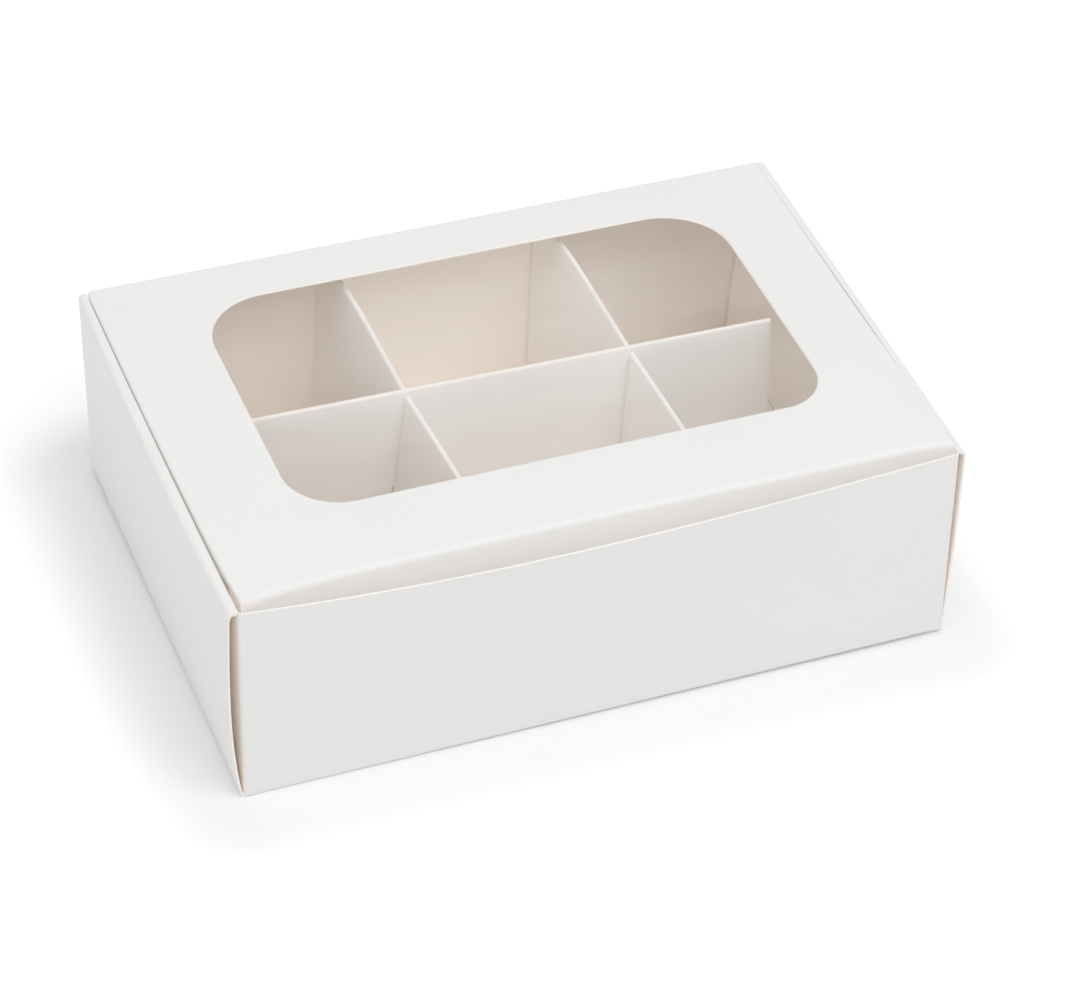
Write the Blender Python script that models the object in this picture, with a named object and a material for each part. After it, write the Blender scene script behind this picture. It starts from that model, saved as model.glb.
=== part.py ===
"""Six-cell window carton: a folded card tray, a hinged window lid and a slotted divider insert.

Units are metres, +Z is up, the front wall faces -Y, and the origin is the middle of the
footprint on the table. Each panel of the folded blank is its own object, split at its creases.
"""

import math

import bmesh
import bpy
from mathutils import Matrix, Vector

# Driving dimensions of the folded carton
LENGTH = 0.203
DEPTH = 0.143
HEIGHT = 0.063
CARD = 0.0006
GAP = 0.0003
FRONT_BOW = 0.005
END_FLARE = 0.0015

# Double end walls: outer panel, rolled top bead and leaning inner panel
BEAD_WIDTH = 0.0022
BEAD_RISE = 0.0014
BEAD_TOP = HEIGHT - 0.0001
INNER_LEAN_IN = 0.0053
INNER_TAPER = 0.004
TAB_WIDTH = 0.024
TAB_SPACING = 0.068
CORNER_FLAP_REACH = 0.046
CORNER_FLAP_TAPER = 0.007

# Lid, its window and its three tuck-in flaps
LID_SIDE_BEND = 0.0010
LID_FRONT_BEND = 0.0022
LID_HALF_WIDTH = LENGTH / 2 - 0.0021
LID_FRONT_INSET = 0.0052
WINDOW_LEFT = 0.0273
WINDOW_RIGHT = 0.0230
WINDOW_FRONT = 0.0337
WINDOW_BACK = 0.0166
WINDOW_RADIUS = 0.019
FILM_OVERLAP = 0.009
FILM = 0.0002
TUCK_HEIGHT = 0.020
TUCK_HALF_WIDTH = 0.097
TUCK_CORNER = 0.011
TUCK_LEAN = math.radians(2)
SIDE_FLAP_DEPTH = 0.020
SIDE_FLAP_CORNER = 0.007
SIDE_FLAP_LEAN = math.radians(7)
SIDE_FLAP_FRONT_GAP = 0.009
SIDE_FLAP_BACK_GAP = 0.004

# Slotted divider insert, standing loose on the floor with its tops leaning back and right
DIVIDER = 0.0012
DIVIDER_LEAN = math.radians(4)
LONG_TOP = 0.060
LONG_FOOT_FROM_FRONT = 0.0722
LONG_LEFT_END = 0.0260
LONG_RIGHT_END = 0.1788
CROSS_TOP = 0.0583
CROSS_FEET_FROM_LEFT = (0.0682, 0.1334)
CROSS_FRONT_END = 0.0058
CROSS_BACK_END = 0.0012

# Places worked out from the driving dimensions
Y_BACK = (DEPTH + FRONT_BOW) / 2
Y_FRONT = Y_BACK - DEPTH
X_END = LENGTH / 2
FLOOR_TOP = CARD + GAP
LID_UNDER = HEIGHT - CARD
PANEL_TOP = BEAD_TOP - BEAD_RISE - GAP
BEAD_MIDDLE = X_END + END_FLARE - BEAD_WIDTH / 2
LID_FRONT = Y_FRONT + LID_FRONT_INSET
LID_BACK = Y_BACK - GAP

ARC_STEPS = 8
BEND_STEPS = 5


def clear_scene():
    """Remove every object of the start-up scene."""
    for old in list(bpy.data.objects):
        bpy.data.objects.remove(old, do_unlink=True)


def make_material(name, colour, roughness, alpha=1.0):
    """Return a Principled material of one colour."""
    material = bpy.data.materials.new(name)
    material.use_nodes = True
    shader = material.node_tree.nodes["Principled BSDF"]
    shader.inputs["Base Color"].default_value = (*colour, 1.0)
    shader.inputs["Roughness"].default_value = roughness
    shader.inputs["Metallic"].default_value = 0.0
    shader.inputs["Alpha"].default_value = alpha
    return material


def rounded_outline(corners):
    """Return the points of a closed outline, with an arc at each corner that has a radius.

    Each corner is (x, y, radius) and the corners run anticlockwise.
    """
    points = []
    count = len(corners)
    for index, (x, y, radius) in enumerate(corners):
        corner = Vector((x, y))
        if radius == 0:
            points.append(corner)
            continue
        before = (Vector(corners[index - 1][:2]) - corner).normalized()
        after = (Vector(corners[(index + 1) % count][:2]) - corner).normalized()
        half_angle = before.angle(after) / 2
        reach = radius / math.tan(half_angle)
        centre = corner + (before + after).normalized() * radius / math.sin(half_angle)
        start = corner + before * reach - centre
        sweep = start.angle_signed(corner + after * reach - centre)
        for step in range(ARC_STEPS + 1):
            turn = Matrix.Rotation(-sweep * step / ARC_STEPS, 2)
            points.append(centre + turn @ start)
    return points


def outline_face(points):
    """Return a bmesh that holds one flat face in the XY plane."""
    sheet = bmesh.new()
    verts = [sheet.verts.new((point.x, point.y, 0)) for point in points]
    sheet.faces.new(verts)
    return sheet


def add_object(name, sheet, material, smooth=False):
    """Turn a closed bmesh into a named object."""
    bmesh.ops.recalc_face_normals(sheet, faces=sheet.faces)
    mesh = bpy.data.meshes.new(name)
    sheet.to_mesh(mesh)
    sheet.free()
    mesh.materials.append(material)
    if smooth:
        mesh.shade_smooth()
        mesh.set_sharp_from_angle(angle=math.radians(35))
    obj = bpy.data.objects.new(name, mesh)
    bpy.context.collection.objects.link(obj)
    return obj


def thicken(sheet, thickness):
    """Give a flat face its thickness, along +Z from where it lies."""
    grown = bmesh.ops.extrude_face_region(sheet, geom=sheet.faces[:])
    top = [item for item in grown["geom"] if isinstance(item, bmesh.types.BMVert)]
    bmesh.ops.translate(sheet, verts=top, vec=(0, 0, thickness))


def plate(name, corners, thickness, matrix, material):
    """Make a flat card panel from an outline, and stand it where the matrix puts it."""
    sheet = outline_face(rounded_outline(corners))
    thicken(sheet, thickness)
    bmesh.ops.transform(sheet, matrix=matrix, verts=sheet.verts)
    return add_object(name, sheet, material)


def standing(origin, along, up):
    """Return the matrix that takes outline X to along, outline Y to up, and Z to their normal."""
    x_axis = Vector(along).normalized()
    y_axis = Vector(up).normalized()
    z_axis = x_axis.cross(y_axis)
    matrix = Matrix((x_axis, y_axis, z_axis)).transposed().to_4x4()
    matrix.translation = origin
    return matrix


def rolled_flap(name, corners, bend_radius, bend_angle, matrix, material):
    """Make a flap that rolls over a crease and hangs down from it.

    The flat outline's X runs along the crease and its Y is the distance from it. The first
    stretch wraps a bend of the given outside radius, and the rest hangs straight.
    """
    sheet = outline_face(rounded_outline(corners))
    middle = bend_radius - CARD / 2
    arc = middle * bend_angle
    for step in range(1, BEND_STEPS + 1):
        bmesh.ops.bisect_plane(
            sheet,
            geom=sheet.verts[:] + sheet.edges[:] + sheet.faces[:],
            plane_co=(0, arc * step / BEND_STEPS, 0),
            plane_no=(0, 1, 0),
        )
    sides = []
    for radius in (bend_radius, bend_radius - CARD):
        side = sheet.copy()
        for vert in side.verts:
            turn = min(vert.co.y / arc, 1) * bend_angle
            drop = max(vert.co.y - arc, 0)
            out = radius * math.sin(turn) + drop * math.cos(turn)
            down = bend_radius - radius * math.cos(turn) + drop * math.sin(turn)
            vert.co = (vert.co.x, out, -down)
        sides.append(side)
    sheet.free()
    outer, inner = sides
    join_sides(outer, inner)
    bmesh.ops.transform(outer, matrix=matrix, verts=outer.verts)
    return add_object(name, outer, material, smooth=True)


def join_sides(outer, inner):
    """Close two like sheets into one solid by a rim of faces along their open edges."""
    rim = [tuple(vert.index for vert in edge.verts) for edge in outer.edges if edge.is_boundary]
    offset = len(outer.verts)
    for vert in inner.verts:
        outer.verts.new(vert.co)
    outer.verts.ensure_lookup_table()
    for face in inner.faces:
        outer.faces.new([outer.verts[offset + vert.index] for vert in reversed(face.verts)])
    for start, end in rim:
        corners = (start, end, end + offset, start + offset)
        outer.faces.new([outer.verts[corner] for corner in corners])
    inner.free()


def cut(target, cutter):
    """Cut a guide solid out of an object."""
    cutter.hide_render = True
    cutter.display_type = "WIRE"
    boolean = target.modifiers.new("cut", "BOOLEAN")
    boolean.operation = "DIFFERENCE"
    boolean.solver = "EXACT"
    boolean.object = cutter


def make_pivot(name, location, parent=None):
    """Return an empty that stands on a joint's axis."""
    pivot = bpy.data.objects.new(name, None)
    pivot.location = location
    if parent:
        pivot.location -= parent.matrix_world.translation
        pivot.parent = parent
    bpy.context.collection.objects.link(pivot)
    bpy.context.view_layer.update()
    return pivot


def carry(pivot, *pieces):
    """Put pieces under a pivot without moving them, so that they turn about it."""
    for piece in pieces:
        piece.data.transform(Matrix.Translation(-pivot.matrix_world.translation))
        piece.parent = pivot


def rectangle(left, bottom, right, top, radius=0.0):
    """Return the corners of a rectangle, anticlockwise."""
    return [
        (left, bottom, radius),
        (right, bottom, radius),
        (right, top, radius),
        (left, top, radius),
    ]


def inner_panel_x(z):
    """Return how far from the middle an inner end panel's inside face is at a height."""
    top = X_END + END_FLARE - BEAD_WIDTH
    return top - INNER_LEAN_IN * (PANEL_TOP - z) / PANEL_TOP


def make_base(material):
    """Make the floor panel, with the slots that the inner end panels lock into."""
    half_x = X_END - CARD - GAP
    corners = rectangle(-half_x, Y_FRONT + CARD + GAP, half_x, Y_BACK - CARD - GAP)
    base = plate("base_panel", corners, CARD, Matrix.Identity(4), material)
    slot_width = CARD + 3 * GAP
    for side in (-1, 1):
        for row in (-1, 1):
            x = side * (inner_panel_x(CARD / 2) + CARD / 2)
            y = (Y_FRONT + Y_BACK + row * TAB_SPACING) / 2
            half_y = TAB_WIDTH / 2 + GAP
            outline = rectangle(x - slot_width / 2, y - half_y, x + slot_width / 2, y + half_y)
            below = Matrix.Translation((0, 0, -CARD))
            cut(base, plate("slot_guide", outline, 3 * CARD, below, material))
    return base


def make_front_wall(material):
    """Make the front wall, straight at its foot and bowed outwards along its top edge."""
    half_x = X_END - CARD - GAP
    sheet = bmesh.new()
    bmesh.ops.create_grid(sheet, x_segments=28, y_segments=8, size=1)
    for vert in sheet.verts:
        across = vert.co.x
        height = (vert.co.y + 1) / 2
        bow = FRONT_BOW * (1 - across ** 2) * height ** 1.4
        vert.co = (across * half_x, Y_FRONT - bow, height * (HEIGHT - GAP))
    inside = sheet.copy()
    for vert in inside.verts:
        vert.co.y += CARD
    join_sides(sheet, inside)
    return add_object("front_wall", sheet, material, smooth=True)


def make_back_wall(material):
    """Make the back wall, which carries the lid's crease along its top edge."""
    half_x = X_END - CARD - GAP
    corners = rectangle(-half_x, 0, half_x, LID_UNDER - GAP)
    matrix = standing((0, Y_BACK, 0), (1, 0, 0), (0, 0, 1))
    return plate("back_wall", corners, CARD, matrix, material)


def make_end_wall(side_name, side, outside, inside):
    """Make one double end wall: outer panel, rolled bead and inner panel with its tabs."""
    front = Y_FRONT + GAP
    back = Y_BACK - GAP
    lean_out = Vector((side * END_FLARE, 0, PANEL_TOP))
    foot = X_END if side < 0 else X_END - CARD
    foot_lift = CARD * END_FLARE / PANEL_TOP
    matrix = standing((side * foot, 0, foot_lift), (0, 1, 0), lean_out)
    corners = rectangle(front, 0, back, lean_out.length - foot_lift)
    plate(f"{side_name}_end_outer_panel", corners, CARD, matrix, outside)

    profile = []
    for half_width, rise, steps in (
        (BEAD_WIDTH / 2, BEAD_RISE, range(ARC_STEPS + 1)),
        (BEAD_WIDTH / 2 - CARD, BEAD_RISE - CARD, range(ARC_STEPS, -1, -1)),
    ):
        for step in steps:
            turn = math.pi * step / ARC_STEPS
            x = side * (BEAD_MIDDLE + half_width * math.cos(turn))
            profile.append((x, BEAD_TOP - BEAD_RISE + rise * math.sin(turn), 0))
    matrix = standing((0, back, 0), (1, 0, 0), (0, 0, 1))
    plate(f"{side_name}_end_top_bead", profile, back - front, matrix, outside)

    front += CARD + GAP
    back -= CARD + GAP
    lean_in = Vector((side * INNER_LEAN_IN, 0, PANEL_TOP))
    stretch = lean_in.length / PANEL_TOP
    bottom = FLOOR_TOP * stretch
    tab_foot = CARD * 0.3
    corners = [(front + INNER_TAPER, bottom, 0)]
    for row in (-1, 1):
        middle = (Y_FRONT + Y_BACK + row * TAB_SPACING) / 2
        left = middle - TAB_WIDTH / 2
        right = middle + TAB_WIDTH / 2
        corners += [(left, bottom, 0), (left, tab_foot, 0), (right, tab_foot, 0), (right, bottom, 0)]
    corners += [
        (back - INNER_TAPER, bottom, 0),
        (back, lean_in.length, 0),
        (front, lean_in.length, 0),
    ]
    foot = inner_panel_x(0) + (CARD if side < 0 else 0)
    matrix = standing((side * foot, 0, 0), (0, 1, 0), lean_in)
    plate(f"{side_name}_end_inner_panel", corners, CARD, matrix, inside)


def make_corner_flaps(side_name, side, material):
    """Make the two flaps that turn in from the front and back walls, between the end panels."""
    lean_out = Vector((side * END_FLARE, 0, PANEL_TOP))
    clear = CARD + GAP
    foot = X_END - clear - (0 if side < 0 else CARD)
    top = 0.058
    for wall_name, crease, reach in (("front", Y_FRONT, 1), ("back", Y_BACK, -1)):
        near = crease + reach * clear
        far = crease + reach * CORNER_FLAP_REACH
        corners = [
            (near, FLOOR_TOP, 0),
            (far, FLOOR_TOP + CORNER_FLAP_TAPER, CORNER_FLAP_TAPER / 2),
            (far, top - CORNER_FLAP_TAPER, CORNER_FLAP_TAPER / 2),
            (near, top, 0),
        ]
        if reach < 0:
            corners.reverse()
        matrix = standing((side * foot, 0, 0), (0, 1, 0), lean_out)
        plate(f"{wall_name}_{side_name}_corner_flap", corners, CARD, matrix, material)


def make_lid(outside, film):
    """Make the lid panel with its round-cornered window, and the clear film under it."""
    corners = rectangle(-LID_HALF_WIDTH, LID_FRONT, LID_HALF_WIDTH, LID_BACK)
    lid = plate("lid_panel", corners, CARD, Matrix.Translation((0, 0, LID_UNDER)), outside)
    window = (
        WINDOW_LEFT - X_END,
        Y_FRONT + WINDOW_FRONT,
        X_END - WINDOW_RIGHT,
        Y_BACK - WINDOW_BACK,
    )
    below = Matrix.Translation((0, 0, LID_UNDER - CARD))
    cut(lid, plate("window_guide", rectangle(*window, WINDOW_RADIUS), 3 * CARD, below, outside))
    left, front, right, back = window
    corners = rectangle(
        left - FILM_OVERLAP,
        front - FILM_OVERLAP,
        right + FILM_OVERLAP,
        back + FILM_OVERLAP,
        FILM_OVERLAP / 3,
    )
    under = Matrix.Translation((0, 0, LID_UNDER - GAP - FILM))
    pane = plate("window_film", corners, FILM, under, film)
    pivot = make_pivot("lid_crease", Vector((0, Y_BACK, LID_UNDER)))
    carry(pivot, lid, pane)
    return pivot


def make_tuck_flap(lid_pivot, material):
    """Make the front flap that rolls over the lid's front crease and tucks behind the wall."""
    arc = (LID_FRONT_BEND - CARD / 2) * (math.pi / 2 + TUCK_LEAN)
    tip = arc + TUCK_HEIGHT
    corners = [
        (-LID_HALF_WIDTH, 0, 0),
        (LID_HALF_WIDTH, 0, 0),
        (TUCK_HALF_WIDTH, arc + TUCK_CORNER / 2, 0),
        (TUCK_HALF_WIDTH, tip, TUCK_CORNER),
        (-TUCK_HALF_WIDTH, tip, TUCK_CORNER),
        (-TUCK_HALF_WIDTH, arc + TUCK_CORNER / 2, 0),
    ]
    crease = Vector((0, LID_FRONT - GAP, HEIGHT))
    matrix = Matrix.Translation(crease) @ Matrix.Rotation(math.pi, 4, "Z")
    flap = rolled_flap(
        "lid_tuck_flap", corners, LID_FRONT_BEND, math.pi / 2 + TUCK_LEAN, matrix, material
    )
    carry(make_pivot("tuck_crease", crease, lid_pivot), flap)


def make_side_flaps(lid_pivot, material):
    """Make the two side flaps, cut away at the back so that they swing clear of the end walls."""
    bend = math.pi / 2 + SIDE_FLAP_LEAN
    arc = (LID_SIDE_BEND - CARD / 2) * bend
    tip = arc + SIDE_FLAP_DEPTH
    front = LID_FRONT + SIDE_FLAP_FRONT_GAP
    back = LID_BACK - SIDE_FLAP_BACK_GAP
    for side_name, side in (("left", -1), ("right", 1)):
        corners = [
            (front, 0, 0),
            (back, 0, 0),
            (back - tip, tip, SIDE_FLAP_CORNER),
            (front + SIDE_FLAP_CORNER, tip, SIDE_FLAP_CORNER),
        ]
        crease = Vector((side * (LID_HALF_WIDTH + GAP), 0, HEIGHT))
        turn = Matrix.Rotation(math.pi / 2, 4, "Z")
        if side > 0:
            turn = Matrix.Scale(-1, 4, (1, 0, 0)) @ turn
        flap = rolled_flap(
            f"lid_{side_name}_flap",
            corners,
            LID_SIDE_BEND,
            bend,
            Matrix.Translation(crease) @ turn,
            material,
        )
        carry(make_pivot(f"{side_name}_flap_crease", crease, lid_pivot), flap)


def make_dividers(material):
    """Make the long strip, slotted from below, and the two cross strips, slotted from above."""
    slope = math.tan(DIVIDER_LEAN)
    stretch = 1 / math.cos(DIVIDER_LEAN)
    half_slot = DIVIDER / 2 * stretch + GAP
    meet = CROSS_TOP / 2
    long_foot_y = Y_FRONT + LONG_FOOT_FROM_FRONT
    cross_feet = [x - X_END for x in CROSS_FEET_FROM_LEFT]

    corners = [(LONG_LEFT_END - X_END, FLOOR_TOP * stretch, 0)]
    for x in cross_feet:
        for edge, height in ((-1, FLOOR_TOP), (-1, meet + GAP), (1, meet + GAP), (1, FLOOR_TOP)):
            corners.append((x + edge * half_slot + height * slope, height * stretch, 0))
    corners += [
        (LONG_RIGHT_END - X_END, FLOOR_TOP * stretch, 0),
        (LONG_RIGHT_END - X_END, LONG_TOP * stretch, DIVIDER),
        (LONG_LEFT_END - X_END, LONG_TOP * stretch, DIVIDER),
    ]
    matrix = standing((0, long_foot_y, 0), (1, 0, 0), (0, slope, 1))
    matrix = matrix @ Matrix.Translation((0, 0, -DIVIDER / 2))
    pieces = [plate("long_divider", corners, DIVIDER, matrix, material)]

    front = Y_FRONT + CROSS_FRONT_END
    back = Y_BACK - CROSS_BACK_END
    corners = [
        (front, FLOOR_TOP * stretch, 0),
        (back, FLOOR_TOP * stretch, 0),
        (back, CROSS_TOP * stretch, DIVIDER),
    ]
    for edge, height in ((1, CROSS_TOP), (1, meet - GAP), (-1, meet - GAP), (-1, CROSS_TOP)):
        corners.append((long_foot_y + edge * half_slot + height * slope, height * stretch, 0))
    corners.append((front, CROSS_TOP * stretch, DIVIDER))
    for side_name, x in zip(("left", "right"), cross_feet):
        matrix = standing((x, 0, 0), (0, 1, 0), (slope, 0, 1))
        matrix = matrix @ Matrix.Translation((0, 0, -DIVIDER / 2))
        pieces.append(plate(f"{side_name}_cross_divider", corners, DIVIDER, matrix, material))
    carry(make_pivot("insert_lift", Vector((0, long_foot_y, 0))), *pieces)


def main():
    """Build the carton."""
    clear_scene()
    coated = make_material("coated_card", (0.84, 0.84, 0.84), 0.42)
    plain = make_material("uncoated_card", (0.80, 0.75, 0.70), 0.75)
    strip = make_material("divider_card", (0.83, 0.82, 0.80), 0.6)
    film = make_material("clear_film", (0.95, 0.96, 0.97), 0.08, alpha=0.15)

    make_base(coated)
    make_front_wall(coated)
    make_back_wall(coated)
    for side_name, side in (("left", -1), ("right", 1)):
        make_end_wall(side_name, side, coated, plain)
        make_corner_flaps(side_name, side, plain)
    lid_pivot = make_lid(coated, film)
    make_tuck_flap(lid_pivot, coated)
    make_side_flaps(lid_pivot, coated)
    make_dividers(strip)


main()
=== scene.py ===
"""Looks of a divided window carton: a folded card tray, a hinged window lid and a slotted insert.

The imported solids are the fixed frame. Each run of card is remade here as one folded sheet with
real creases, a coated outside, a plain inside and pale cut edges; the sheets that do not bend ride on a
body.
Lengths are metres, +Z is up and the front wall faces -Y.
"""

from __future__ import annotations

import logging
import math
from dataclasses import dataclass
from enum import IntEnum
from typing import Callable, NamedTuple, TypeVar

import bpy
from bpy.types import Material, Node, NodeSocket, NodeTree, Object
from mathutils import Matrix, Vector

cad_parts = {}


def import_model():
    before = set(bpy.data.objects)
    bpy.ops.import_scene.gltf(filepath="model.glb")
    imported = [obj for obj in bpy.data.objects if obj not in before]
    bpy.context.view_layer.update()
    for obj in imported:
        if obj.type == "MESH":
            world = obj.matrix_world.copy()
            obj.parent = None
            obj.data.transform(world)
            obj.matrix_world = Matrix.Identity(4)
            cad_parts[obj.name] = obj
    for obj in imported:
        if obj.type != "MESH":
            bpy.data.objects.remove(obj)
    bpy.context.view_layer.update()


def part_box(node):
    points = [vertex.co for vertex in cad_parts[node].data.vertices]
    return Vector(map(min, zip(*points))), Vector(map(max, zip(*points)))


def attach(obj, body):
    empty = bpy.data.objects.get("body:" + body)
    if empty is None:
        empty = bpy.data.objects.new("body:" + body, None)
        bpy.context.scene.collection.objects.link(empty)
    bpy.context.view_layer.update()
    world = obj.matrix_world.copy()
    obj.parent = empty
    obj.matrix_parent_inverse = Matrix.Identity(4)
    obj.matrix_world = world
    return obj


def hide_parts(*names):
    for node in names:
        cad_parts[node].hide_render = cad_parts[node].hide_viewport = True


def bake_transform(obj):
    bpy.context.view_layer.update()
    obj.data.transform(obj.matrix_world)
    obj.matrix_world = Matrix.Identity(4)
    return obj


LOG = logging.getLogger("carton")
MM = 0.001

EdgeTest = Callable[[Vector, Vector], bool]
Station = TypeVar("Station")
Pair = tuple[float, float]
Triple = tuple[float, float, float]
Feed = NodeSocket | float | tuple[float, ...]
Inputs = dict[str | int, Feed]


class Face(IntEnum):
    """The material slot of each kind of face on a card sheet."""

    OUTSIDE = 0
    INSIDE = 1
    CUT = 2


class Sign(IntEnum):
    """One of two opposite places in the carton, as a sign."""

    @property
    def word(self) -> str:
        """Return the place's name in lower case."""
        return self.name.lower()


class Side(Sign):
    """Left or right end of the carton, as the sign of its X."""

    LEFT = -1
    RIGHT = 1


class CrossWall(Sign):
    """Front or back wall of the tray, as the sign of the way in from it."""

    FRONT = 1
    BACK = -1


class SectionPoint(NamedTuple):
    """A point of a sheet's section, how far along a flap it is, and whether it takes the plain finish:
    bare board, or painted warm shade on the tray's coated corner flaps.
    """

    across: float
    up: float
    run: float = 0.0
    plain: bool = False


def feed(node: Node, inputs: Inputs) -> None:
    """Link or set a node's inputs.

    Args:
        node: The node.
        inputs: The socket or constant that each input takes, by the input's name or number.
    """
    for key, value in inputs.items():
        if isinstance(value, NodeSocket):
            node.id_data.links.new(value, node.inputs[key])
        else:
            node.inputs[key].default_value = value


def add_node(tree: NodeTree, kind: str, inputs: Inputs, **fields: object) -> Node:
    """Add a shader node.

    Args:
        tree: The nodes that it joins.
        kind: Its type's name, after ShaderNode.
        inputs: What its inputs take.
        **fields: Values of its other fields.

    Returns:
        The node.
    """
    node = tree.nodes.new(f"ShaderNode{kind}")
    for field, value in fields.items():
        setattr(node, field, value)
    feed(node, inputs)
    return node


def object_place(tree: NodeTree) -> NodeSocket:
    """Add a node that gives Object coordinates, and return their socket."""
    return add_node(tree, "TexCoord", {}).outputs["Object"]


def noise(tree: NodeTree, coords: NodeSocket, scale: float, detail: float) -> NodeSocket:
    """Add a noise texture.

    Args:
        tree: The nodes that it joins.
        coords: The coordinates that it reads.
        scale: Its scale, per unit of the coordinates.
        detail: How many octaves it has.

    Returns:
        The noise's socket.
    """
    inputs = {"Vector": coords, "Scale": scale, "Detail": detail}
    return add_node(tree, "TexNoise", inputs).outputs["Fac"]


def combine(tree: NodeTree, operation: str, *terms: Feed) -> NodeSocket:
    """Add a node that works out a number from others.

    Args:
        tree: The nodes that it joins.
        operation: Blender's name for what it works out.
        *terms: The sockets or constants that it works on.

    Returns:
        The number's socket.
    """
    return add_node(tree, "Math", dict(enumerate(terms)), operation=operation).outputs[0]


def map_range(
    tree: NodeTree, value: NodeSocket, before: Pair, after: Pair, interpolation: str = "LINEAR"
) -> NodeSocket:
    """Add a node that maps one range of numbers to another.

    Args:
        tree: The nodes that it joins.
        value: The number's socket.
        before: The first range.
        after: The second range.
        interpolation: Blender's name for how it goes from end to end.

    Returns:
        The mapped number's socket.
    """
    inputs: Inputs = {"Value": value}
    inputs["From Min"], inputs["From Max"] = before
    inputs["To Min"], inputs["To Max"] = after
    return add_node(tree, "MapRange", inputs, interpolation_type=interpolation).outputs["Result"]


def new_material(name: str) -> tuple[Material, Node]:
    """Make a material with nodes.

    Args:
        name: Its name.

    Returns:
        The material and its shader.
    """
    material = bpy.data.materials.new(name)
    material.use_nodes = True
    return material, material.node_tree.nodes["Principled BSDF"]


@dataclass(frozen=True)
class CardFinish:
    """One face of the card: its colour, paper tooth and slow mottling."""

    name: str
    colour: Triple
    mottle: float
    roughness: float
    tooth: float
    fibre_scale: float
    mottle_scale: float = 22.0
    fibre_share: float = 0.35
    shade_range: Pair = (0.45, 0.9)
    roughness_play: float = 0.06
    tooth_depth: float = 0.05 * MM
    specular: float = 0.35

    def build(self) -> Material:
        """Make the procedural material.

        Returns:
            A material that reads Object coordinates only.
        """
        material, shader = new_material(self.name)
        tree = material.node_tree
        place = object_place(tree)
        mottle = noise(tree, place, self.mottle_scale, detail=3.0)
        fibre = noise(tree, place, self.fibre_scale, detail=5.0)
        blend = combine(tree, "MULTIPLY_ADD", fibre, self.fibre_share, mottle)
        ramp = add_node(tree, "ValToRGB", {"Fac": blend})
        factors = (1.0 - self.mottle, 1.0 + self.mottle / 2)
        for stop, position, factor in zip(ramp.color_ramp.elements, self.shade_range, factors):
            stop.position = position
            stop.color = (*(min(channel * factor, 1.0) for channel in self.colour), 1.0)
        gloss = (self.roughness - self.roughness_play, self.roughness + self.roughness_play)
        tooth = {"Height": fibre, "Strength": self.tooth, "Distance": self.tooth_depth}
        looks = {
            "Base Color": ramp.outputs["Color"],
            "Roughness": map_range(tree, fibre, (0.0, 1.0), gloss),
            "Specular IOR Level": self.specular,
            "Normal": add_node(tree, "Bump", tooth).outputs["Normal"],
        }
        feed(shader, looks)
        return material


@dataclass(frozen=True)
class FilmFinish:
    """The clear window film, with a trace of haze in slow streaks."""

    name: str = "clear_film"
    colour: tuple[float, ...] = (0.9, 0.91, 0.92, 1.0)
    roughness: float = 0.06
    refraction: float = 1.5
    haze: Pair = (0.02, 0.07)
    streaks: Triple = (5.0, 42.0, 5.0)
    streak_range: Pair = (0.35, 0.65)

    def build(self) -> Material:
        """Make the procedural material.

        Returns:
            A nearly clear material.
        """
        material, shader = new_material(self.name)
        tree = material.node_tree
        stretch = add_node(tree, "Mapping", {"Vector": object_place(tree), "Scale": self.streaks})
        streaks = noise(tree, stretch.outputs["Vector"], 1.0, detail=2.0)
        looks = {
            "Base Color": self.colour,
            "Roughness": self.roughness,
            "IOR": self.refraction,
            "Alpha": map_range(tree, streaks, self.streak_range, self.haze),
        }
        feed(shader, looks)
        return material


class CardStock:
    """The board that the carton is cut from: three finishes in the order of Face."""

    def __init__(self, outside: CardFinish, inside: CardFinish, cut: CardFinish) -> None:
        """Build the three materials.

        Args:
            outside: Finish of the coated face.
            inside: Finish of the back of the board.
            cut: Finish of the board's cut edges.
        """
        self.materials = [finish.build() for finish in (outside, inside, cut)]

    def dress(self, piece: Object) -> None:
        """Give a piece the three material slots.

        Args:
            piece: The piece, whose own slots are emptied first.
        """
        piece.data.materials.clear()
        for material in self.materials:
            piece.data.materials.append(material)


def spread(start: float, end: float, steps: int) -> list[float]:
    """Return evenly spaced numbers from start to end, both included."""
    return [start + (end - start) * step / steps for step in range(steps + 1)]


def mix(start: float, end: float, share: float) -> float:
    """Return the number that is a share of the way from start to end."""
    return start + (end - start) * share


def share_of(value: float, start: float, end: float) -> float:
    """Return how far a number is on the way from start to end, from 0 to 1."""
    return min(max((value - start) / (end - start), 0.0), 1.0)


def ease(value: float) -> float:
    """Return a smooth step from 0 to 1."""
    clipped = share_of(value, 0, 1)
    return clipped * clipped * (3 - 2 * clipped)


def level(start: float, end: float, steps: int) -> list[SectionPoint]:
    """Return evenly spaced points of a flat section, from start to end."""
    return [SectionPoint(across, 0.0) for across in spread(start, end, steps)]


def arc(
    centre: Pair, radius: float, start: float, end: float, steps: int, run: float = 0.0
) -> list[SectionPoint]:
    """Lay out a rolled fold of a section.

    Args:
        centre: Its middle.
        radius: Its radius.
        start: First angle in degrees, anticlockwise from the first axis.
        end: Last angle in degrees.
        steps: How many stretches it has.
        run: How far along a flap its points are.

    Returns:
        Points from start to end, both included.
    """
    across, up = centre
    return [
        SectionPoint(across + radius * math.cos(angle), up + radius * math.sin(angle), run)
        for angle in map(math.radians, spread(start, end, steps))
    ]


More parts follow.
